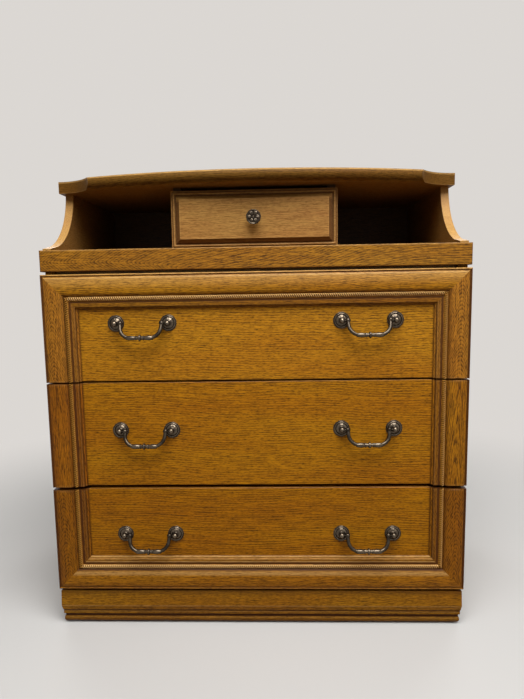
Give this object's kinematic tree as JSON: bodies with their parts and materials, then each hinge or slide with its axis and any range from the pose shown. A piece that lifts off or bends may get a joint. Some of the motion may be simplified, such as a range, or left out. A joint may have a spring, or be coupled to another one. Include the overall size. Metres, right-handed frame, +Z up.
{
  "type": "chest of drawers",
  "caption": "Oak chest of wide drawers with rope-beaded frames and bail handles, under a low gallery with a small central drawer and a bow-fronted shelf.",
  "frame": {"origin": "centre of the underside of the bounding box, on the floor", "axes": "+Z up, front towards -Y, +X to the viewer's right"},
  "size_m": [0.8, 0.431, 0.8879],
  "materials": {
    "oak_level": "golden-brown stained oak, grain level, satin varnish",
    "oak_upright": "golden-brown stained oak, grain upright, satin varnish",
    "oak_deep": "golden-brown stained oak, grain front to back, satin varnish",
    "oak_rope": "golden-brown stained oak, carved rope, satin varnish",
    "pale_level": "plain unstained softwood",
    "pale_deep": "plain unstained softwood",
    "plywood": "plain plywood",
    "bronze": "darkened bronze with worn highlights",
    "steel": "zinc-plated steel",
    "glide": "dark brown plastic"
  },
  "bodies": {
    "carcass": {"back_panel": "plywood", "bottom_panel": "pale_level", "counter_board": "oak_level", "drawer_runners": "pale_deep", "foot_glides": "glide", "gallery_back": "plywood", "gallery_drawer_runners": "pale_deep", "gallery_partitions": "oak_deep", "gallery_side_left": "oak_deep", "gallery_side_right": "oak_deep", "plinth_back": "pale_level", "plinth_blocks": "pale_level", "plinth_front": "oak_level", "plinth_sides": "oak_deep", "runner_screws": "steel", "side_panel_left": "oak_upright", "side_panel_right": "oak_upright", "top_shelf": "oak_level", "top_stretchers": "pale_level"},
    "bottom_drawer": {"bottom_box_back": "pale_level", "bottom_box_bottom": "plywood", "bottom_box_front": "pale_level", "bottom_box_sides": "pale_deep", "bottom_frame_rail": "oak_level", "bottom_frame_stiles": "oak_upright", "bottom_front_panel": "oak_level", "bottom_handle_posts": "bronze", "bottom_handle_screws": "steel", "bottom_rope_beads": "oak_rope"},
    "middle_drawer": {"middle_box_back": "pale_level", "middle_box_bottom": "plywood", "middle_box_front": "pale_level", "middle_box_sides": "pale_deep", "middle_frame_stiles": "oak_upright", "middle_front_panel": "oak_level", "middle_handle_posts": "bronze", "middle_handle_screws": "steel", "middle_rope_beads": "oak_rope"},
    "top_drawer": {"top_box_back": "pale_level", "top_box_bottom": "plywood", "top_box_front": "pale_level", "top_box_sides": "pale_deep", "top_frame_rail": "oak_level", "top_frame_stiles": "oak_upright", "top_front_panel": "oak_level", "top_handle_posts": "bronze", "top_handle_screws": "steel", "top_rope_beads": "oak_rope"},
    "gallery_drawer": {"gallery_box_back": "pale_level", "gallery_box_bottom": "plywood", "gallery_box_sides": "pale_deep", "gallery_drawer_front": "oak_level", "gallery_knob": "bronze", "gallery_knob_screw": "steel"},
    "bottom_left_bail": {"bottom_left_bail": "bronze"},
    "bottom_right_bail": {"bottom_right_bail": "bronze"},
    "middle_left_bail": {"middle_left_bail": "bronze"},
    "middle_right_bail": {"middle_right_bail": "bronze"},
    "top_left_bail": {"top_left_bail": "bronze"},
    "top_right_bail": {"top_right_bail": "bronze"}
  },
  "joints": [
    {"name": "bottom_drawer_slide", "type": "slide", "parent": "carcass", "child": "bottom_drawer", "axis": [0, -1, 0], "range_m": [0, 0.25]},
    {"name": "middle_drawer_slide", "type": "slide", "parent": "carcass", "child": "middle_drawer", "axis": [0, -1, 0], "range_m": [0, 0.25]},
    {"name": "top_drawer_slide", "type": "slide", "parent": "carcass", "child": "top_drawer", "axis": [0, -1, 0], "range_m": [0, 0.25]},
    {"name": "gallery_drawer_slide", "type": "slide", "parent": "carcass", "child": "gallery_drawer", "axis": [0, -1, 0], "range_m": [0, 0.2]},
    {"name": "bottom_left_bail_swing", "type": "hinge", "parent": "bottom_drawer", "child": "bottom_left_bail", "pos_m": [-0.2132, -0.19749, 0.18625], "axis": [-1, 0, 0], "range_deg": [0, 80]},
    {"name": "bottom_right_bail_swing", "type": "hinge", "parent": "bottom_drawer", "child": "bottom_right_bail", "pos_m": [0.2132, -0.19749, 0.18625], "axis": [-1, 0, 0], "range_deg": [0, 80]},
    {"name": "middle_left_bail_swing", "type": "hinge", "parent": "middle_drawer", "child": "middle_left_bail", "pos_m": [-0.2132, -0.19749, 0.39675], "axis": [-1, 0, 0], "range_deg": [0, 80]},
    {"name": "middle_right_bail_swing", "type": "hinge", "parent": "middle_drawer", "child": "middle_right_bail", "pos_m": [0.2132, -0.19749, 0.39675], "axis": [-1, 0, 0], "range_deg": [0, 80]},
    {"name": "top_left_bail_swing", "type": "hinge", "parent": "top_drawer", "child": "top_left_bail", "pos_m": [-0.2132, -0.19749, 0.60425], "axis": [-1, 0, 0], "range_deg": [0, 80]},
    {"name": "top_right_bail_swing", "type": "hinge", "parent": "top_drawer", "child": "top_right_bail", "pos_m": [0.2132, -0.19749, 0.60425], "axis": [-1, 0, 0], "range_deg": [0, 80]}
  ]
}
